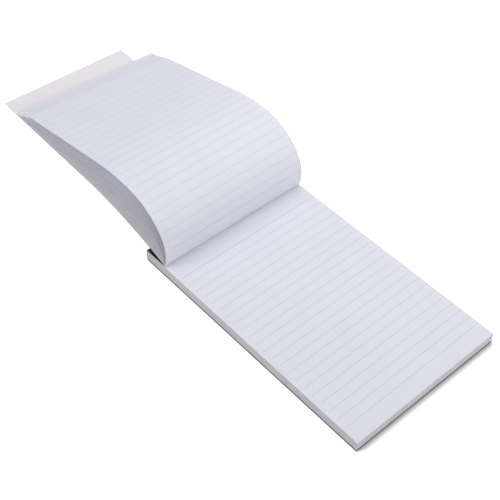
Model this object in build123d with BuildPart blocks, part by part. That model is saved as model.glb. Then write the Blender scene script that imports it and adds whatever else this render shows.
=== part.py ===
from build123d import *
import os
from math import cos, radians, sin

# A ruled writing pad bound along its head, lying open on a table.
# One card is the whole cover: back panel, spine, strip over the stubs, and a front flap.
# The flap and the first few leaves are turned back over the head and stand up in a curl.
# X runs across the page, Y towards the head, Z up. The origin is the middle of the underside.

# Page and stack, in millimetres
page_width = 127.0
page_length = 203.2
sheet_thickness = 0.1
sheets_in_block = 76
board_thickness = 0.8
card_thickness = 0.4

# Binding at the head
crease_from_head = 17.5
card_fold_radius = 0.4

# Front flap of the cover, turned back
flap_width = 108.0
flap_length = 187.0
flap_fold_angle = 157.0
flap_bend_radius = 275.0
flap_bend_angle = 18.9
flap_lean_angle = 1.5
flap_droop_angle = 0.55

# Turned leaves, in bundles that stand apart; the first is the top one, with the largest curl
bundle_names = ["turned_leaves_upper", "turned_leaves_middle", "turned_leaves_lower"]
sheets_in_bundle = 3
leaf_clearance = 0.1
fold_clearance = 0.4

# Curl of the top bundle at its left edge, as arcs that follow one another
fold_angle = 72.0
rise_radius = 34.6
rise_angle = 54.8
shoulder_radius = 46.3
shoulder_angle = 43.4
fall_radius = 105.5
fall_angle = 16.8

# What each bundle below adds to the arcs of the one above
fold_angle_step = 8.2
rise_radius_step = -2.6
rise_angle_step = 4.0
shoulder_radius_step = 0.8
shoulder_angle_step = -9.6
fall_radius_step = 11.5
fall_angle_step = -5.8

# Turned leaves wander to the left of the pad and droop towards their right edge
leaf_lean_angle = 2.1
leaf_droop_angle = 3.45
leaf_droop_angle_step = -0.7

# Staples of flat wire under the strip
wire_thickness = 0.5
wire_width = 0.7
staple_crown = 12.0
staple_clinch = 3.5
staple_spacing = 64.0
staple_from_head = 8.0
staple_bend_radius = 0.4
wire_clearance = 0.06

# Worked out from the sizes above
block_thickness = sheet_thickness * sheets_in_block
bundle_thickness = sheet_thickness * sheets_in_bundle
head_y = page_length / 2
foot_y = -page_length / 2
crease_y = head_y - crease_from_head
left_x = -page_width / 2
block_bottom = card_thickness + board_thickness
block_top = block_bottom + block_thickness
strip_bottom = block_top + bundle_thickness * len(bundle_names)
strip_top = strip_bottom + card_thickness
staple_y = head_y - staple_from_head
staple_centres = [(-staple_spacing / 2, staple_y), (staple_spacing / 2, staple_y)]
crown_z = strip_bottom - wire_clearance - wire_thickness / 2
clinch_z = card_thickness + wire_clearance + wire_thickness / 2
slot_width = wire_width + 2 * wire_clearance
slot_depth = wire_thickness + 2 * wire_clearance
inner_leaf_fold = card_fold_radius + card_thickness + bundle_thickness
stub_length = crease_from_head + fold_clearance
curl_length = page_length - stub_length


def side_plane(x, lean_angle):
    """Plane of a turned sheet's side edge: local x runs from the crease to the head, local y up."""
    lean = radians(lean_angle)
    towards_head = (-sin(lean), cos(lean), 0)
    across = (cos(lean), sin(lean), 0)
    return Plane(origin=(x, crease_y, 0), x_dir=towards_head, z_dir=across)


def sheet_section(plane, start, bends, length, thickness, side):
    """Side edge of a bent sheet: arcs that follow one another, then a straight run to its end."""
    with BuildSketch(plane) as section:
        with BuildLine():
            point = Vector(*start)
            heading = Vector(-1, 0)
            remaining = length
            for radius, turn in bends:
                arc = JernArc(start=point, tangent=heading, radius=radius, arc_size=-turn)
                point = arc @ 1
                heading = arc % 1
                remaining -= radius * radians(turn)
            Line(point, point + heading * remaining)
            offset(amount=thickness, side=side, closed=True)
        make_face()
    return section.sketch


def cut_staple_slots(bottom, top):
    """Slots across the stack for the lying wire, from one height to another, in the open part."""
    with BuildSketch(Plane.XY.offset(bottom)) as slots:
        with Locations(*staple_centres):
            Rectangle(staple_crown + slot_depth, slot_width)
    extrude(slots.sketch, amount=top - bottom, mode=Mode.SUBTRACT)


def cut_leg_holes(bottom, top):
    """Holes for the staple legs, from one height to another, in the open part."""
    with BuildSketch(Plane.XY.offset(bottom)) as holes:
        with Locations(*staple_centres):
            with GridLocations(staple_crown, 1, 2, 1):
                Rectangle(slot_depth, slot_width)
    extrude(holes.sketch, amount=top - bottom, mode=Mode.SUBTRACT)


# Cover: the card follows the foot, the board's rounded head edge, the spine and the stubs
with BuildPart() as cover:
    with BuildSketch(Plane.YZ.offset(left_x)) as wrap:
        with BuildLine():
            back = Line((foot_y, card_thickness), (head_y - board_thickness, card_thickness))
            corner = JernArc(back @ 1, back % 1, board_thickness, 90)
            spine = Line(corner @ 1, (head_y, strip_bottom))
            Line(spine @ 1, (crease_y, strip_bottom))
            offset(amount=card_thickness, side=Side.RIGHT, kind=Kind.ARC, closed=True)
        make_face()
    extrude(amount=page_width)
    flap_start = (0, strip_top)
    flap_bends = [(card_fold_radius, flap_fold_angle), (flap_bend_radius, flap_bend_angle)]
    flap_left = sheet_section(
        side_plane(left_x, flap_lean_angle), flap_start, flap_bends, flap_length, card_thickness,
        Side.LEFT,
    )
    flap_bends[0] = (card_fold_radius, flap_fold_angle + flap_droop_angle)
    flap_right = sheet_section(
        side_plane(left_x + flap_width, flap_lean_angle), flap_start, flap_bends, flap_length,
        card_thickness, Side.LEFT,
    )
    loft([flap_left, flap_right], ruled=True)
cover.part.label = "cover"

# Backing board: its head edge is rounded where the card wraps round it
with BuildPart() as backing_board:
    with BuildSketch(Plane.XY.offset(card_thickness)):
        with Locations((0, -board_thickness / 2)):
            Rectangle(page_width, page_length - board_thickness)
    extrude(amount=board_thickness)
    cut_leg_holes(card_thickness, block_bottom)
    cut_staple_slots(card_thickness, card_thickness + slot_depth)
backing_board.part.label = "backing_board"

# Page block: the leaves that lie flat
with BuildPart() as page_block:
    with BuildSketch(Plane.XY.offset(block_bottom)):
        Rectangle(page_width, page_length)
    extrude(amount=block_thickness)
    cut_leg_holes(block_bottom, block_top)
page_block.part.label = "page_block"

# Turned leaves: each bundle is a flat stub under the strip and a curl that starts at the crease
turned_bundles = []
for step, bundle_name in enumerate(bundle_names):
    stub_bottom = block_top + step * bundle_thickness
    bundles_inside = len(bundle_names) - 1 - step
    first_radius = inner_leaf_fold + (bundle_thickness + leaf_clearance) * bundles_inside
    bends = [
        (first_radius, fold_angle + step * fold_angle_step),
        (rise_radius + step * rise_radius_step, rise_angle + step * rise_angle_step),
        (shoulder_radius + step * shoulder_radius_step, shoulder_angle + step * shoulder_angle_step),
        (fall_radius + step * fall_radius_step, fall_angle + step * fall_angle_step),
    ]
    droop = leaf_droop_angle + step * leaf_droop_angle_step
    start = (-fold_clearance, stub_bottom)
    with BuildPart() as bundle:
        with BuildSketch(Plane.XY.offset(stub_bottom)):
            with Locations((0, head_y - stub_length / 2)):
                Rectangle(page_width, stub_length)
        extrude(amount=bundle_thickness)
        left = sheet_section(
            side_plane(left_x, leaf_lean_angle), start, bends, curl_length, bundle_thickness,
            Side.RIGHT,
        )
        bends[0] = (first_radius, fold_angle + step * fold_angle_step + droop)
        right = sheet_section(
            side_plane(left_x + page_width, leaf_lean_angle), start, bends, curl_length,
            bundle_thickness, Side.RIGHT,
        )
        loft([left, right], ruled=True)
        cut_leg_holes(stub_bottom, stub_bottom + bundle_thickness)
        slot_bottom = strip_bottom - slot_depth
        if stub_bottom + bundle_thickness > slot_bottom:
            cut_staple_slots(max(slot_bottom, stub_bottom), strip_bottom)
    bundle.part.label = bundle_name
    turned_bundles.append(bundle.part)


def wire_staple(centre):
    """A clinched staple: crown on top, legs down the stack, ends turned in under the board."""
    half = staple_crown / 2
    with BuildPart() as staple:
        with BuildLine(Plane.XZ.offset(-centre[1])) as wire:
            x = centre[0]
            FilletPolyline(
                (x - half + staple_clinch, clinch_z),
                (x - half, clinch_z),
                (x - half, crown_z),
                (x + half, crown_z),
                (x + half, clinch_z),
                (x + half - staple_clinch, clinch_z),
                radius=staple_bend_radius,
            )
        with BuildSketch(Plane(origin=wire.line @ 0, x_dir=(0, 1, 0), z_dir=wire.line % 0)):
            Rectangle(wire_width, wire_thickness)
        sweep(path=wire.line)
    return staple.part


staple_left = wire_staple(staple_centres[0])
staple_left.label = "staple_left"
staple_right = wire_staple(staple_centres[1])
staple_right.label = "staple_right"

os.makedirs("parts", exist_ok=True)
pieces = [cover.part, backing_board.part, page_block.part, *turned_bundles, staple_left, staple_right]
for piece in pieces:
    export_step(piece, f"parts/{piece.label}.step")
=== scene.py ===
import math
import bpy
import numpy as np
from mathutils import Matrix, Vector


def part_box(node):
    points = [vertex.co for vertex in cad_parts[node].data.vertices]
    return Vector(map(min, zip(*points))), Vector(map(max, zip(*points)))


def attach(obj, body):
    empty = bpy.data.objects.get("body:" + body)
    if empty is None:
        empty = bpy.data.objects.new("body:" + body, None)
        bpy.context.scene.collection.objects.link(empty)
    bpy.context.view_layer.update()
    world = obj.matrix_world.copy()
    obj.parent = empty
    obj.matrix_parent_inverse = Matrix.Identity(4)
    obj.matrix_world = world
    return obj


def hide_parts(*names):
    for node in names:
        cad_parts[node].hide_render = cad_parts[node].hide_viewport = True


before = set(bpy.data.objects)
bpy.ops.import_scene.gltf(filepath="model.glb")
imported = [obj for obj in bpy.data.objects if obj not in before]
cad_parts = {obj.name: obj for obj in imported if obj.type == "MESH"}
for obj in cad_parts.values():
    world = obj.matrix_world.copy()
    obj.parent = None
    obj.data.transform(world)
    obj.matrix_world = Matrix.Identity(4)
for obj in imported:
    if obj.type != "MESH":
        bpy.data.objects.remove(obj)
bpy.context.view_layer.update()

# A ruled writing pad with its front flap and top leaves turned back over the head.
# Metres, X across the page, Y towards the head, Z up, origin in the middle of the underside.
MM = 0.001

# How many leaves lie flat, and the bundles of leaves that are turned, the top one first
sheets_in_block = 76
bundle_names = ["turned_leaves_upper", "turned_leaves_middle", "turned_leaves_lower"]
leaves_in_bundle = 3

# Sizes that the frame gives
block_low, block_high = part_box("page_block")
board_low, board_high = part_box("backing_board")
upper_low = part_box("turned_leaves_upper")[0]
middle_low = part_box("turned_leaves_middle")[0]
left_x = block_low.x
foot_y = block_low.y
head_y = block_high.y
block_top = block_high.z
page_width = block_high.x - block_low.x
page_length = block_high.y - block_low.y
card_thickness = board_low.z
board_thickness = board_high.z - board_low.z
bundle_thickness = middle_low.z - upper_low.z
leaf_thickness = bundle_thickness / leaves_in_bundle
strip_bottom = block_top + len(bundle_names) * bundle_thickness

# Folds and creases
crease_from_head = 17.5 * MM
crease_y = head_y - crease_from_head
fold_clearance = 0.4 * MM
leaf_clearance = 0.1 * MM
stub_length = crease_from_head + fold_clearance
card_fold_radius = 0.4 * MM
spine_corner_radius = 0.5 * MM

# Front flap of the cover
flap_width = 108.0 * MM
flap_length = 187.0 * MM
flap_fold_angle = 157.0
flap_bend_radius = 275.0 * MM
flap_bend_angle = 18.9
flap_lean = math.radians(1.5)
flap_droop = math.radians(0.55)

# Curl of the top bundle at its left edge: radius and angle of each arc
fold_angle = 72.0
rise_radius = 34.6 * MM
rise_angle = 54.8
shoulder_radius = 46.3 * MM
shoulder_angle = 43.4
fall_radius = 105.5 * MM
fall_angle = 16.8

# What each bundle below adds to the arcs of the one above
fold_angle_step = 8.2
rise_radius_step = -2.6 * MM
rise_angle_step = 4.0
shoulder_radius_step = 0.8 * MM
shoulder_angle_step = -9.6
fall_radius_step = 11.5 * MM
fall_angle_step = -5.8

# Turned leaves wander to the left of the pad and droop towards their right edge
leaf_lean = math.radians(2.1)
leaf_droop = math.radians(3.45)
leaf_droop_step = math.radians(-0.7)

# Loose leaves, a row for each bundle: how far down the steps of the bundles each one lies, and
# how far its free end has slipped to the right
leaf_spread = np.array([[0.0, 0.10, 0.22], [0.80, 0.98, 1.14], [1.66, 1.85, 2.0]])
leaf_shift = np.array([[0.0, 0.25, -0.15], [0.1, -0.2, 0.2], [0.1, 0.2, 0.05]]) * MM
shift_start = 0.3

# Slow waves in a loose leaf: how many there are across it and along it, and where they fade in
wave_depth = 0.25 * MM
first_wave_across = 0.9
first_wave_along = 0.55
second_wave_across = -0.4
second_wave_along = 1.6
wave_start = 0.12
wave_fade = 0.3

# Stack of flat leaves: how far the leaves are drawn in, alone and in groups that wander together
leaf_inset = 0.10 * MM
wander_groups = 9
group_wander_share = 0.7
wander_seed = 7

# Marks of the card along its creases: the black face rubbed lighter, the white face darker
crease_peak = 1.2
crease_reach = 1.1 * MM

# Ruling, the same on both sides of a leaf
first_rule_from_foot = 168.25 * MM
rule_pitch = 7.425 * MM
rule_count = 22
rule_inset = 3.0 * MM
rule_width = 0.3 * MM
rule_soft_edge = 0.06 * MM
ink_least = 0.45
ink_unevenness = 0.9
rule_strength = 0.55
turned_rule_strength = 0.46
head_rule_extra = 0.30

# Fineness of the meshes
leaf_step_angle = math.radians(3.0)
leaf_step_length = 6 * MM
lines_across_leaf = 41
card_step_angle = math.radians(7.5)
card_step_length = 8 * MM
lines_over_flap = 31
lines_past_flap = 7
stack_columns = 24
stack_rows = 36
rounding = 1e-9

# Colours, linear
page_shade = (0.700, 0.700, 0.780, 1)
page_light = (0.760, 0.760, 0.840, 1)
rule_colour = (0.330, 0.330, 0.400, 1)
# Cut edges of the flat stack, darker than the page face: partly their own tone, partly painted shade
# in the gaps between the leaves
edge_shade = (0.52, 0.52, 0.55, 1)
edge_light = (0.76, 0.76, 0.81, 1)
rim_shade = (0.50, 0.50, 0.56, 1)
rim_light = (0.62, 0.62, 0.68, 1)
black_shade = (0.010, 0.010, 0.011, 1)
black_light = (0.022, 0.022, 0.023, 1)
black_worn = (0.10, 0.10, 0.10, 1)
white_shade = (0.77, 0.74, 0.78, 1)
white_light = (0.84, 0.81, 0.85, 1)
# The white face's darker tone along its creases
white_at_creases = (0.69, 0.67, 0.69, 1)
# Cut card and board, dark: partly their own tone, partly painted contact shade along the bottom of
# the pad
cut_shade = (0.09, 0.09, 0.09, 1)
cut_light = (0.18, 0.18, 0.18, 1)
board_shade = (0.10, 0.10, 0.09, 1)
board_light = (0.18, 0.18, 0.17, 1)
wire_shade = (0.45, 0.45, 0.46, 1)
wire_light = (0.68, 0.68, 0.69, 1)
# Floor colours: open, and in the painted contact shadow near the pad
painted_contact_shade = (0.14, 0.14, 0.14, 1)
floor_open = (0.93, 0.93, 0.93, 1)


# Shapes

def spaced(stretches, fine, coarse):
    """Distances along a sheet, from its start to its end.

    A turning stretch is cut into even steps of at most the fine angle, and every stretch into
    steps of at most the coarse length.
    """
    marks = [0.0]
    for length, turn in stretches:
        pieces = max(1, math.ceil(abs(turn) / fine), math.ceil(length / coarse))
        marks.extend(marks[-1] + length * (np.arange(pieces) + 1) / pieces)
    return np.array(marks)


def carried_profile(stretches, distance, start, first_heading, extra_turn):
    """Profile of a sheet as it is carried along its path, for every line across it at once.

    The heading is the first heading plus the turns so far, each spread evenly over its stretch,
    less each line's extra turn over the stretch of the main fold. The place is the running sum of
    the heading's cosine and sine, times the chord of each step, which is the step times the sine
    of half its turn over that half turn. Gives place along, height and heading, as arrays of
    distance by line.
    """
    lengths = np.array([length for length, _ in stretches])
    turns = np.array([turn for _, turn in stretches])
    ends = np.concatenate(([0.0], np.cumsum(lengths)))
    headings = first_heading + np.concatenate(([0.0], np.cumsum(turns)))
    fold = int(np.argmax(-turns))

    def heading_at(places):
        """Heading at each place, for every line."""
        share = np.clip((places - ends[fold]) / lengths[fold], 0.0, 1.0)
        return np.interp(places, ends, headings)[:, None] - share[:, None] * extra_turn

    middle = (distance[1:] + distance[:-1]) / 2
    step = np.diff(distance)[:, None]
    half_turn = np.abs(np.diff(heading_at(distance), axis=0)) / 2
    chord = step * np.sinc(half_turn / np.pi)
    heading = heading_at(middle)
    first = 0 * extra_turn[None, :]
    along = start[0] + np.concatenate((first, np.cumsum(chord * np.cos(heading), axis=0)))
    height = start[1] + np.concatenate((first, np.cumsum(chord * np.sin(heading), axis=0)))
    return along, height, heading_at(distance)


def sheet_faces(profile, across, thickness, turned, lean_angle):
    """Two faces of a sheet on a grid of distance by place across.

    The first face is the one that the profile follows, and the second lies a thickness to the
    left of the way it is carried. Where turned is true the sheet leans sideways, so its place
    along, counted from the crease, is turned by the lean.
    """
    along, height, heading = profile
    lean = np.where(turned, lean_angle, 0.0)[:, None]
    faces = []
    for offset in (0.0, thickness):
        run = along - offset * np.sin(heading)
        rise = height + offset * np.cos(heading)
        x = across[None, :] - np.sin(lean) * run
        y = crease_y + np.cos(lean) * run
        faces.append(np.stack([x, y, rise], axis=-1))
    return faces


def sheet_uv(lines, distance):
    """UV map of a sheet in metres: across from its left edge, and along from its start."""
    grids = np.broadcast_arrays(lines[None, :] * page_width, distance[:, None])
    return np.stack(grids, -1).reshape(-1, 2)


def closed_sheet(kept):
    """Quads of a closed sheet: its two faces, on grids that have one quad for each place in kept.

    Both faces are there where kept is true, and a rim joins them wherever a kept quad has no
    kept neighbour. Near and far are along the sheet, left and right across it. Gives the quads,
    and the material of each: 0 for the first face, 1 for the second and 2 for the rim.
    """
    rows = kept.shape[0] + 1
    columns = kept.shape[1] + 1
    count = rows * columns
    grid = np.arange(count).reshape(rows, columns)
    near_left = grid[:-1, :-1]
    far_left = grid[1:, :-1]
    far_right = grid[1:, 1:]
    near_right = grid[:-1, 1:]
    front = np.stack([near_left, far_left, far_right, near_right], -1)[kept]
    reverse = np.stack([near_right, far_right, far_left, near_left], -1)[kept] + count
    padded = np.pad(kept, 1)
    sides = [
        (padded[1:-1, :-2], far_left, near_left),
        (padded[2:, 1:-1], far_right, far_left),
        (padded[1:-1, 2:], near_right, far_right),
        (padded[:-2, 1:-1], near_left, near_right),
    ]
    quads = [front, reverse]
    for beyond, start, end in sides:
        rim = np.stack([start, end, end + count, start + count], -1)
        quads.append(rim[kept & ~beyond])
    material = np.repeat([0, 1, 2, 2, 2, 2], [len(part) for part in quads])
    return np.concatenate(quads), material


def add_piece(name, points, faces, face_material, uv, materials, attributes=None, sharp=40.0):
    """Makes a mesh object from whole arrays, turned outwards if its signed volume is negative.

    Points that no face uses are left out. Edges sharper than the given angle shade as sharp.
    """
    used, index = np.unique(faces, return_inverse=True)
    faces = index.reshape(faces.shape)
    points = points[used]
    uv = uv[used]
    corner = points[faces]
    signed = np.einsum("ij,ij->i", corner[:, 0], np.cross(corner[:, 1], corner[:, 2]))
    signed += np.einsum("ij,ij->i", corner[:, 0], np.cross(corner[:, 2], corner[:, 3]))
    if signed.sum() < 0:
        faces = faces[:, ::-1]
    mesh = bpy.data.meshes.new(name)
    mesh.from_pydata(points, [], faces)
    mesh.polygons.foreach_set("material_index", face_material.astype(np.int32))
    mesh.polygons.foreach_set("use_smooth", np.ones(len(faces), bool))
    layer = mesh.uv_layers.new(name="sheet")
    layer.data.foreach_set("uv", uv[faces.ravel()].astype(np.float32).ravel())
    for label, values in (attributes or {}).items():
        attribute = mesh.attributes.new(label, "FLOAT", "POINT")
        attribute.data.foreach_set("value", values[used].astype(np.float32))
    mesh.update()
    mesh.set_sharp_from_angle(angle=math.radians(sharp))
    for material in materials:
        mesh.materials.append(material)
    piece = bpy.data.objects.new(name, mesh)
    bpy.context.scene.collection.objects.link(piece)
    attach(piece, "root")
    return piece


def leaf_stretches(step, fold_radius):
    """Stretches of a turned leaf as length and turn: stub, fold, rise, shoulder, fall, straight."""
    arcs = [
        (fold_radius, fold_angle + step * fold_angle_step),
        (rise_radius + step * rise_radius_step, rise_angle + step * rise_angle_step),
        (shoulder_radius + step * shoulder_radius_step, shoulder_angle + step * shoulder_angle_step),
        (fall_radius + step * fall_radius_step, fall_angle + step * fall_angle_step),
    ]
    turning = [(radius * math.radians(angle), -math.radians(angle)) for radius, angle in arcs]
    stub = [(stub_length, 0.0)]
    rest = page_length - sum(length for length, _ in stub + turning)
    return stub + turning + [(rest, 0.0)]


def slack(distance, across):
    """Depth of the slow waves in a loose sheet, between 0 and 1.

    It is the product of two cosines, each of a count of waves across plus a count along, brought
    to between 0 and 1 and faded in past the fold by the square of a ramp.
    """
    along = distance[:, None] / page_length
    side = (across[None, :] - left_x) / page_width
    fade = np.clip((along - wave_start) / wave_fade, 0.0, 1.0) ** 2
    first_wave = np.cos(2 * np.pi * (first_wave_across * side + first_wave_along * along))
    second_wave = np.cos(2 * np.pi * (second_wave_across * side + second_wave_along * along))
    return fade * (0.5 + 0.5 * first_wave * second_wave)


def turned_leaves(bundle, name, materials):
    """One bundle of turned leaves: thin closed sheets, each a carried profile.

    Each leaf's fold goes round the ones inside it, and its free end lies a little apart from
    theirs. The waves push it in along its own thickness, and the shift moves it sideways in
    proportion to the distance past its start.
    """
    lines = np.linspace(0.0, 1.0, lines_across_leaf)
    across = left_x + lines * page_width
    bundles_inside = len(bundle_names) - 1 - bundle
    points = []
    uvs = []
    quads = []
    quad_materials = []
    base = 0
    for leaf in range(leaves_in_bundle):
        step = leaf_spread[bundle, leaf]
        outer_fold = card_fold_radius + card_thickness + bundle_thickness
        outer_fold += (bundle_thickness + leaf_clearance) * bundles_inside - leaf * leaf_thickness
        stretches = leaf_stretches(step, outer_fold)
        distance = spaced(stretches, leaf_step_angle, leaf_step_length)
        height = block_top + bundle * bundle_thickness + leaf * leaf_thickness
        droop = (leaf_droop + step * leaf_droop_step) * lines
        profile = carried_profile(stretches, distance, (crease_from_head, height), math.pi, droop)
        turned = distance > stub_length + rounding
        faces = sheet_faces(profile, across, -leaf_thickness, turned, leaf_lean)
        inward = (faces[1] - faces[0]) / leaf_thickness
        depth = wave_depth * slack(distance, across)
        past_start = np.clip(distance / page_length - shift_start, 0.0, 1.0)
        shift = leaf_shift[bundle, leaf] * past_start
        for face in faces:
            face += inward * depth[..., None]
            face[..., 0] += shift[:, None]
        kept = np.ones((len(distance) - 1, len(lines) - 1), bool)
        leaf_quads, leaf_quad_materials = closed_sheet(kept)
        points.extend(face.reshape(-1, 3) for face in faces)
        uvs.extend([sheet_uv(lines, distance)] * len(faces))
        quads.append(leaf_quads + base)
        quad_materials.append(leaf_quad_materials)
        base += len(faces) * len(distance) * len(lines)
    piece = add_piece(
        name, np.concatenate(points), np.concatenate(quads), np.concatenate(quad_materials),
        np.concatenate(uvs), materials,
    )
    return piece


def cover_stretches():
    """Stretches of the cover card's outside as length and turn, from the foot to the flap's end.

    They are the back, lower corner, spine, upper corner, strip, fold, slow bend and straight run.
    """
    spine_height = strip_bottom + card_thickness
    lower_radius = card_thickness + board_thickness
    back_length = page_length + card_thickness - lower_radius
    spine_length = spine_height - lower_radius - spine_corner_radius
    strip_length = crease_from_head + card_thickness - spine_corner_radius
    quarter = math.pi / 2
    fold_turn = math.radians(flap_fold_angle)
    bend_turn = math.radians(flap_bend_angle)
    bend_length = flap_bend_radius * bend_turn
    flap_rest = flap_length - card_fold_radius * (fold_turn + flap_droop) - bend_length
    return [
        (back_length, 0.0),
        (lower_radius * quarter, quarter),
        (spine_length, 0.0),
        (spine_corner_radius * quarter, quarter),
        (strip_length, 0.0),
        (card_fold_radius * fold_turn, -fold_turn),
        (bend_length, -bend_turn),
        (flap_rest, 0.0),
    ]


def folded_cover(name, materials):
    """The cover card as one sheet, from the foot along the back, spine and stubs into the flap.

    Past the fold only the flap's width is kept. The path is the outside of the card, so the other
    face lies on its left. The crease mark is a little over 1 at a crease, less the distance from
    it over its reach, kept between 0 and 1.
    """
    stretches = cover_stretches()
    distance = spaced(stretches, card_step_angle, card_step_length)
    flap_share = flap_width / page_width
    over_flap = np.linspace(0.0, flap_share, lines_over_flap)
    past_flap = np.linspace(flap_share, 1.0, lines_past_flap)
    lines = np.concatenate((over_flap, past_flap[1:]))
    across = left_x + lines * page_width
    droop = flap_droop * lines / flap_share
    profile = carried_profile(stretches, distance, (foot_y - crease_y, 0.0), 0.0, droop)
    ends = np.cumsum([length for length, _ in stretches])
    back_end, lower_corner_end, spine_end, upper_corner_end, flap_start, fold_end = ends[:6]
    turned = distance > flap_start + rounding
    faces = sheet_faces(profile, across, card_thickness, turned, flap_lean)
    kept = np.ones((len(distance) - 1, len(lines) - 1), bool)
    kept[distance[:-1] >= flap_start - rounding, lines_over_flap - 1:] = False
    quads, quad_materials = closed_sheet(kept)
    uv = sheet_uv(lines, distance)
    lower_corner = (back_end + lower_corner_end) / 2
    upper_corner = (spine_end + upper_corner_end) / 2
    flap_fold = (flap_start + fold_end) / 2
    creases = np.array([lower_corner, upper_corner, flap_fold])
    from_crease = np.abs(distance[:, None] - creases[None, :]).min(axis=1)
    near_crease = np.clip(crease_peak - from_crease / crease_reach, 0.0, 1.0)
    near_crease = np.broadcast_to(near_crease[:, None], (len(distance), len(lines))).ravel()
    piece = add_piece(
        name, np.concatenate([face.reshape(-1, 3) for face in faces]), quads, quad_materials,
        np.concatenate([uv, uv]), materials, {"crease_mark": np.concatenate([near_crease, near_crease])},
    )
    return piece


def leaf_wander(draws):
    """How far each flat leaf lies to the side and to the head of its place, from random draws.

    Each leaf has a draw of its own, and a share of what its group has, which runs on smoothly
    from one group to the next.
    """
    wander = leaf_inset * (draws.random((sheets_in_block, 2)) - 0.5)
    group_places = np.linspace(0, sheets_in_block, wander_groups)
    group_draws = draws.random(wander_groups) - 0.5
    together = np.interp(np.arange(sheets_in_block), group_places, group_draws)
    return wander + group_wander_share * leaf_inset * together[:, None]


def leaf_stack(name, materials):
    """The flat leaves as a stack.

    Each leaf gives two rings round the page, one at its bottom and one at its top, drawn in by
    the inset and moved by its own wander, so that its edges stand in or out from its neighbours'.
    The bottom and the top of the stack are grids that end on the same rings.
    """
    side = np.linspace(0.0, 1.0, stack_columns + 1)
    end = np.linspace(0.0, 1.0, stack_rows + 1)
    ring = np.concatenate([
        np.stack([side[:-1], 0 * side[:-1]], -1),
        np.stack([0 * end[:-1] + 1, end[:-1]], -1),
        np.stack([1 - side[:-1], 0 * side[:-1] + 1], -1),
        np.stack([0 * end[:-1], 1 - end[:-1]], -1),
    ])
    around = len(ring)
    first_corner = stack_columns
    second_corner = stack_columns + stack_rows
    third_corner = 2 * stack_columns + stack_rows
    leaf_height = (block_high.z - block_low.z) / sheets_in_block
    levels = np.repeat(np.arange(sheets_in_block + 1), 2)[1:-1] * leaf_height + block_low.z
    wander = np.repeat(leaf_wander(np.random.default_rng(wander_seed)), 2, axis=0)
    page = np.array([page_width, page_length])
    drawn_in = 1.0 - 2 * leaf_inset / page
    place = (ring[None] - 0.5) * drawn_in * page + wander[:, None, :]
    height = np.broadcast_to(levels[:, None, None], (*place.shape[:2], 1))
    wall = np.concatenate([place, height], -1)
    index = np.arange(len(levels) * around).reshape(len(levels), around)
    following = np.roll(index, -1, axis=1)
    wall_quads = np.stack([index[:-1], following[:-1], following[1:], index[1:]], -1)
    points = [wall.reshape(-1, 3)]
    quads = [wall_quads.reshape(-1, 4)]
    quad_materials = [np.full(len(quads[0]), 1)]
    base = index.size
    for level, rim in ((0, index[0]), (-1, index[-1])):
        u, v = np.meshgrid(side, end, indexing="ij")
        flat = (np.stack([u, v], -1) - 0.5) * drawn_in * page + wander[level]
        cap = np.concatenate([flat, np.full((*u.shape, 1), levels[level])], -1)
        grid = np.arange(u.size).reshape(u.shape) + base
        grid[:-1, 0] = rim[:first_corner]
        grid[-1, :-1] = rim[first_corner:second_corner]
        grid[1:, -1] = rim[second_corner:third_corner][::-1]
        grid[0, 1:] = rim[third_corner:][::-1]
        cap_quads = np.stack([grid[:-1, :-1], grid[1:, :-1], grid[1:, 1:], grid[:-1, 1:]], -1)
        cap_quads = cap_quads.reshape(-1, 4)
        quads.append(cap_quads if level else cap_quads[:, ::-1])
        quad_materials.append(np.zeros(len(cap_quads)))
        points.append(cap.reshape(-1, 3))
        base += u.size
    points = np.concatenate(points)
    piece = add_piece(
        name, points, np.concatenate(quads), np.concatenate(quad_materials), points[:, :2],
        materials, sharp=25.0,
    )
    return piece


# Nodes

def wire(tree, source, target):
    """Joins an output socket to an input socket, or writes a plain value into the input."""
    if isinstance(source, bpy.types.NodeSocket):
        tree.links.new(source, target)
    else:
        target.default_value = source


def math_node(tree, operation, *values, clamp=False):
    """A Math node with its values or links in place. Gives its output."""
    node = tree.nodes.new("ShaderNodeMath")
    node.operation = operation
    node.use_clamp = clamp
    for socket, value in zip(node.inputs, values):
        wire(tree, value, socket)
    return node.outputs[0]


def weighted_sum(tree, *parts):
    """The sum of each value times its weight."""
    total = 0.0
    for value, weight in parts:
        total = math_node(tree, "MULTIPLY_ADD", value, weight, total)
    return total


def noise_node(tree, vector, scale, detail=2.0, roughness=0.5):
    """Noise at a size given in features to the metre. Gives its value."""
    node = tree.nodes.new("ShaderNodeTexNoise")
    node.inputs["Scale"].default_value = scale
    node.inputs["Detail"].default_value = detail
    node.inputs["Roughness"].default_value = roughness
    wire(tree, vector, node.inputs["Vector"])
    return node.outputs["Fac"]


def drawn_out_noise(tree, vector, scales, detail, roughness=0.5):
    """Noise whose features to the metre are given for each axis, so that it is drawn out."""
    node = tree.nodes.new("ShaderNodeVectorMath")
    node.operation = "MULTIPLY"
    wire(tree, vector, node.inputs[0])
    node.inputs[1].default_value = scales
    return noise_node(tree, node.outputs[0], scale=1.0, detail=detail, roughness=roughness)


def mixed(tree, share, first, second):
    """First colour to second colour by a share. Gives the colour."""
    node = tree.nodes.new("ShaderNodeMix")
    node.data_type = "RGBA"
    wire(tree, share, node.inputs["Factor"])
    wire(tree, first, node.inputs["A"])
    wire(tree, second, node.inputs["B"])
    return node.outputs["Result"]


# Node groups

def new_group(name, inputs, outputs):
    """An empty shader node group with named sockets, and its input and output nodes."""
    group = bpy.data.node_groups.new(name, "ShaderNodeTree")
    for label, kind in inputs:
        group.interface.new_socket(label, in_out="INPUT", socket_type=kind)
    for label, kind in outputs:
        group.interface.new_socket(label, in_out="OUTPUT", socket_type=kind)
    return group, group.nodes.new("NodeGroupInput"), group.nodes.new("NodeGroupOutput")


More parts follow.
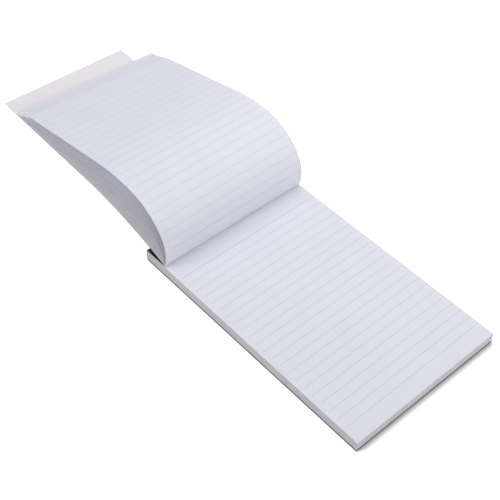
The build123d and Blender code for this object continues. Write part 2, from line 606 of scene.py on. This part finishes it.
def make_texture(name, pattern):
    """A group that turns a place into a tone for colours and a height for bumps, by a pattern."""
    group, entry, leaving = new_group(
        name, [("Vector", "NodeSocketVector")],
        [("Tone", "NodeSocketFloat"), ("Height", "NodeSocketFloat")],
    )
    tone, height = pattern(group, entry.outputs["Vector"])
    group.links.new(tone, leaving.inputs["Tone"])
    group.links.new(height, leaving.inputs["Height"])
    return group


def paper_fibre(tree, place):
    """Uncoated paper: slow clouds and fine specks for tone, and fine felted fibres for height."""
    clouds = noise_node(tree, place, scale=45.0, detail=3.0)
    specks = noise_node(tree, place, scale=1400.0)
    fibres = drawn_out_noise(tree, place, (2600.0, 6760.0, 2600.0), detail=3.0, roughness=0.6)
    return weighted_sum(tree, (clouds, 0.65), (specks, 0.35)), fibres


def leaf_edges(tree, place):
    """Cut edges of stacked leaves: noise drawn out along the leaves and packed tight across them.

    There are thin streaks of single leaves, broader bands where a few leaves stand in or out
    together, and patches along the stack.
    """
    streaks = drawn_out_noise(tree, place, (60.0, 60.0, 9000.0), detail=1.0)
    bands = drawn_out_noise(tree, place, (22.0, 22.0, 1100.0), detail=2.0)
    patches = drawn_out_noise(tree, place, (95.0, 95.0, 60.0), detail=2.0)
    return weighted_sum(tree, (bands, 0.35), (streaks, 0.4), (patches, 0.25)), streaks


def board_grain(tree, place):
    """Pressed board: coarse flecks of pulp and a slow drift for tone, and a fine tooth for height."""
    flecks = noise_node(tree, place, scale=900.0, detail=4.0, roughness=0.7)
    drift = noise_node(tree, place, scale=60.0)
    tooth = noise_node(tree, place, scale=3200.0)
    return weighted_sum(tree, (drift, 0.3), (flecks, 0.7)), tooth


def make_ruling():
    """Printed rules, as masks from the place across and up the page.

    The height below the first rule over the pitch, less its nearest whole number, gives the
    distance to the nearest rule. The mask is 1 within half a rule's width and falls off over a
    soft edge, inside the margin and between the first and the last rule. It is a little uneven
    along the line. Head is the same for the first rule alone.
    """
    group, entry, leaving = new_group(
        "ruling", [("Across", "NodeSocketFloat"), ("Up", "NodeSocketFloat")],
        [("Rule", "NodeSocketFloat"), ("Head", "NodeSocketFloat")],
    )
    across = entry.outputs["Across"]
    up = entry.outputs["Up"]
    below_first = math_node(group, "SUBTRACT", first_rule_from_foot, up)
    count = math_node(group, "DIVIDE", below_first, rule_pitch)
    nearest = math_node(group, "ROUND", count)
    off_rule = math_node(group, "ABSOLUTE", math_node(group, "SUBTRACT", count, nearest))
    away = math_node(group, "MULTIPLY", off_rule, rule_pitch)
    within = math_node(group, "SUBTRACT", rule_width / 2 + rule_soft_edge, away)
    line = math_node(group, "DIVIDE", within, 2 * rule_soft_edge, clamp=True)
    from_first = math_node(group, "GREATER_THAN", nearest, -0.5)
    to_last = math_node(group, "LESS_THAN", nearest, rule_count - 0.5)
    past_margin = math_node(group, "GREATER_THAN", across, rule_inset)
    here = math_node(group, "MULTIPLY", from_first, to_last)
    here = math_node(group, "MULTIPLY", here, past_margin)
    place = group.nodes.new("ShaderNodeCombineXYZ")
    group.links.new(across, place.inputs["X"])
    group.links.new(up, place.inputs["Y"])
    blotches = noise_node(group, place.outputs[0], scale=700.0)
    ink = math_node(group, "MULTIPLY_ADD", blotches, ink_unevenness, ink_least, clamp=True)
    rule = math_node(group, "MULTIPLY", math_node(group, "MULTIPLY", line, here), ink)
    first_alone = math_node(group, "LESS_THAN", nearest, 0.5)
    head = math_node(group, "MULTIPLY", rule, first_alone)
    group.links.new(rule, leaving.inputs["Rule"])
    group.links.new(head, leaving.inputs["Head"])
    return group


# Materials

def new_material(name, roughness, **constants):
    """A material with its Principled BSDF. Plain values are set on the shader's own sockets."""
    material = bpy.data.materials.new(name)
    material.use_nodes = True
    shader = material.node_tree.nodes["Principled BSDF"]
    shader.inputs["Roughness"].default_value = roughness
    for label, value in constants.items():
        shader.inputs[label.replace("_", " ")].default_value = value
    return material, material.node_tree, shader


def place_group(tree, group, **sources):
    """A group node in a material, with its inputs linked. Gives its outputs."""
    node = tree.nodes.new("ShaderNodeGroup")
    node.node_tree = group
    for label, source in sources.items():
        wire(tree, source, node.inputs[label])
    return node.outputs


def add_bump(tree, shader, height, distance, strength):
    """A bump of the height on the shader's normal."""
    bump = tree.nodes.new("ShaderNodeBump")
    bump.inputs["Strength"].default_value = strength
    bump.inputs["Distance"].default_value = distance
    tree.links.new(height, bump.inputs["Height"])
    tree.links.new(bump.outputs["Normal"], shader.inputs["Normal"])


def object_place(tree):
    """Place in the object's own frame."""
    return tree.nodes.new("ShaderNodeTexCoord").outputs["Object"]


def sheet_place(tree):
    """Place on the sheet from its UV map, in metres."""
    node = tree.nodes.new("ShaderNodeUVMap")
    node.uv_map = "sheet"
    return node.outputs["UV"]


def ruled_paper(name, groups, on_sheet):
    """Page face: cloudy paper with the ruling printed on it.

    On a turned sheet the distance up is the page's length less the distance from the head edge,
    and on the flat stack it is the height above the foot.
    """
    material, tree, shader = new_material(name, roughness=0.62, Specular_IOR_Level=0.28)
    place = sheet_place(tree) if on_sheet else object_place(tree)
    apart = tree.nodes.new("ShaderNodeSeparateXYZ")
    tree.links.new(place, apart.inputs[0])
    if on_sheet:
        across = apart.outputs["X"]
        up = math_node(tree, "SUBTRACT", page_length, apart.outputs["Y"])
        strength = turned_rule_strength
    else:
        across = math_node(tree, "SUBTRACT", apart.outputs["X"], left_x)
        up = math_node(tree, "SUBTRACT", apart.outputs["Y"], foot_y)
        strength = rule_strength
    fibre = place_group(tree, groups["fibre"], Vector=place)
    ruling = place_group(tree, groups["ruling"], Across=across, Up=up)
    paper = mixed(tree, fibre["Tone"], page_shade, page_light)
    rules = math_node(tree, "MULTIPLY", ruling["Rule"], strength)
    rule_share = math_node(tree, "MULTIPLY_ADD", ruling["Head"], head_rule_extra, rules)
    colour = mixed(tree, rule_share, paper, rule_colour)
    tree.links.new(colour, shader.inputs["Base Color"])
    add_bump(tree, shader, fibre["Height"], distance=0.02 * MM, strength=0.6)
    return material


def card_face(name, groups, shade, light, crease_colour, roughness, specular):
    """One face of the cover card: grained card, lighter or darker along its creases by the crease
    mark.
    """
    material, tree, shader = new_material(name, roughness, Specular_IOR_Level=specular)
    board = place_group(tree, groups["board"], Vector=sheet_place(tree))
    near_crease = tree.nodes.new("ShaderNodeAttribute")
    near_crease.attribute_name = "crease_mark"
    crease_share = math_node(tree, "MULTIPLY", near_crease.outputs["Fac"], board["Tone"], clamp=True)
    card = mixed(tree, board["Tone"], shade, light)
    tree.links.new(mixed(tree, crease_share, card, crease_colour), shader.inputs["Base Color"])
    add_bump(tree, shader, board["Height"], distance=0.03 * MM, strength=0.6)
    return material


def plain_finish(name, texture, shade, light, roughness, bump_distance, bump_strength):
    """Cut edges and bare board, on object coordinates: shade to light by the texture's tone."""
    material, tree, shader = new_material(name, roughness, Specular_IOR_Level=0.2)
    surface = place_group(tree, texture, Vector=object_place(tree))
    tree.links.new(mixed(tree, surface["Tone"], shade, light), shader.inputs["Base Color"])
    add_bump(tree, shader, surface["Height"], bump_distance, bump_strength)
    return material


def staple_wire(name):
    """Bright flat wire with fine draw marks along it."""
    material, tree, shader = new_material(name, roughness=0.32, Metallic=1.0)
    marks = drawn_out_noise(tree, object_place(tree), (300.0, 9000.0, 300.0), detail=2.0)
    tree.links.new(mixed(tree, marks, wire_shade, wire_light), shader.inputs["Base Color"])
    add_bump(tree, shader, marks, distance=0.01 * MM, strength=0.4)
    return material


groups = {
    "fibre": make_texture("paper_fibre", paper_fibre),
    "ruling": make_ruling(),
    "edges": make_texture("leaf_edges", leaf_edges),
    "board": make_texture("board_grain", board_grain),
}
page_face = ruled_paper("page_face", groups, on_sheet=False)
leaf_face = ruled_paper("leaf_face", groups, on_sheet=True)
# The colour of the stack's edges is partly painted shade between the leaves
block_edge = plain_finish(
    "block_edge", groups["edges"], edge_shade, edge_light,
    roughness=0.75, bump_distance=0.05 * MM, bump_strength=0.5,
)
leaf_edge = plain_finish(
    "leaf_edge", groups["fibre"], rim_shade, rim_light,
    roughness=0.75, bump_distance=0.02 * MM, bump_strength=0.5,
)
card_black = card_face(
    "card_black", groups, black_shade, black_light, black_worn, roughness=0.5, specular=0.4
)
card_white = card_face(
    "card_white", groups, white_shade, white_light, white_at_creases, roughness=0.7, specular=0.25
)
# Cut card and board colours are partly painted contact shade along the bottom of the pad
card_cut = plain_finish(
    "card_cut", groups["board"], cut_shade, cut_light,
    roughness=0.8, bump_distance=0.04 * MM, bump_strength=0.8,
)
greyboard = plain_finish(
    "greyboard", groups["board"], board_shade, board_light,
    roughness=0.85, bump_distance=0.04 * MM, bump_strength=0.8,
)
wire_metal = staple_wire("wire_metal")

# Pieces
cover = folded_cover("cover_folded_card", [card_black, card_white, card_cut])
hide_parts("cover")
stack = leaf_stack("flat_leaves", [page_face, block_edge])
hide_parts("page_block")
for bundle, bundle_name in enumerate(bundle_names):
    sheets_name = bundle_name.replace("turned_leaves", "turned_sheets")
    piece = turned_leaves(bundle, sheets_name, [leaf_face, leaf_face, leaf_edge])
    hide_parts(bundle_name)

# Nodes that stay as they are, each with its own material
kept_nodes = {
    "backing_board": greyboard,
    "staple_left": wire_metal,
    "staple_right": wire_metal,
}
for node_name, material in kept_nodes.items():
    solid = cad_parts[node_name]
    solid.data.materials.clear()
    solid.data.materials.append(material)

# Camera, solved from the page's corners, edges and rules
camera_place = Vector((-335.67, -292.97, 527.34)) * MM
camera_azimuth = math.radians(-43.126)
camera_elevation = math.radians(47.276)
camera_roll = math.radians(2.036)
camera_data = bpy.data.cameras.new("camera")
camera_data.lens = 73.116
camera_data.sensor_width = 36.0
camera = bpy.data.objects.new("camera", camera_data)
bpy.context.scene.collection.objects.link(camera)
back = Vector((
    math.sin(camera_azimuth) * math.cos(camera_elevation),
    -math.cos(camera_azimuth) * math.cos(camera_elevation),
    math.sin(camera_elevation),
))
right = (-back).cross(Vector((0, 0, 1))).normalized()
up = back.cross(right)
rolled_right = math.cos(camera_roll) * right + math.sin(camera_roll) * up
rolled_up = math.cos(camera_roll) * up - math.sin(camera_roll) * right
turn = Matrix((rolled_right, rolled_up, back)).transposed()
camera.matrix_world = Matrix.Translation(camera_place) @ turn.to_4x4()
bpy.context.scene.camera = camera

# Floor: white to the camera, with a painted contact shadow where the pad shuts out the light close
# by:
# an occlusion mask darkens the floor's colour and its lift to the camera, over the real shadow it
# takes.
# The light is looked for upwards, to the left and towards the head, which is the contact side, so
# the line shows along the foot and hardly along the left edge.
floor_half = 3.0
floor_drop = 0.02 * MM
floor_lift = 0.70
contact_reach = 8.0 * MM
contact_side = (-0.5, 0.65, 1.0)
contact_gain = 1.75
contact_offset = -0.42
floor_mesh = bpy.data.meshes.new("floor")
floor_corners = [
    (-floor_half, -floor_half, -floor_drop),
    (floor_half, -floor_half, -floor_drop),
    (floor_half, floor_half, -floor_drop),
    (-floor_half, floor_half, -floor_drop),
]
floor_mesh.from_pydata(floor_corners, [], [(0, 1, 2, 3)])
floor = bpy.data.objects.new("floor", floor_mesh)
bpy.context.scene.collection.objects.link(floor)
floor_material, floor_tree, floor_shader = new_material(
    "floor_white", roughness=0.9, Specular_IOR_Level=0.0
)
floor_shader.inputs["Emission Color"].default_value = (1, 1, 1, 1)
# Occlusion mask that paints the contact shadow on the floor
contact = floor_tree.nodes.new("ShaderNodeAmbientOcclusion")
contact.inputs["Distance"].default_value = contact_reach
open_side = floor_tree.nodes.new("ShaderNodeCombineXYZ")
for axis, share in zip("XYZ", contact_side):
    open_side.inputs[axis].default_value = share
floor_tree.links.new(open_side.outputs[0], contact.inputs["Normal"])
open_share = math_node(
    floor_tree, "MULTIPLY_ADD", contact.outputs["AO"], contact_gain, contact_offset, clamp=True
)
# Painted contact shadow in the floor's colour
floor_tone_with_painted_shade = mixed(floor_tree, open_share, painted_contact_shade, floor_open)
floor_tree.links.new(floor_tone_with_painted_shade, floor_shader.inputs["Base Color"])
floor_rays = floor_tree.nodes.new("ShaderNodeLightPath")
# The lift to the camera is darkened by the same mask: painted contact shadow
lift = math_node(floor_tree, "MULTIPLY", open_share, floor_lift)
seen_lift = math_node(floor_tree, "MULTIPLY", floor_rays.outputs["Is Camera Ray"], lift)
floor_tree.links.new(seen_lift, floor_shader.inputs["Emission Strength"])
floor_mesh.materials.append(floor_material)

# World: soft daylight for the object, and white to the camera and in reflections
world_level = 0.40
world = bpy.data.worlds.new("studio")
bpy.context.scene.world = world
world.use_nodes = True
world_tree = world.node_tree
background = world_tree.nodes["Background"]
background.inputs["Color"].default_value = (1, 1, 1, 1)
world_rays = world_tree.nodes.new("ShaderNodeLightPath").outputs
bounced = math_node(
    world_tree, "MAXIMUM", world_rays["Is Glossy Ray"], world_rays["Is Transmission Ray"]
)
shown = math_node(world_tree, "MAXIMUM", world_rays["Is Camera Ray"], bounced)
world_strength = math_node(world_tree, "MULTIPLY_ADD", shown, 1.0 - world_level, world_level)
world_tree.links.new(world_strength, background.inputs["Strength"])

# Lamps, all turned towards the middle of the pad
lamp_aim = (0, 0.05, 0)


def add_lamp(name, place, size, power):
    """A square soft lamp at a place, turned towards the lamps' common aim."""
    data = bpy.data.lights.new(name, "AREA")
    data.size = size
    data.energy = power
    lamp = bpy.data.objects.new(name, data)
    lamp.location = place
    lamp.rotation_euler = (Vector(lamp_aim) - Vector(place)).to_track_quat("-Z", "Y").to_euler()
    bpy.context.scene.collection.objects.link(lamp)


add_lamp("side_light", place=(-0.75, 0.35, 0.75), size=0.6, power=3.9)
add_lamp("front_light", place=(0.55, -0.75, 0.60), size=0.7, power=5.1)
add_lamp("head_light", place=(0.22, 0.14, 0.38), size=0.4, power=0.60)

bpy.context.scene.view_settings.view_transform = "Standard"
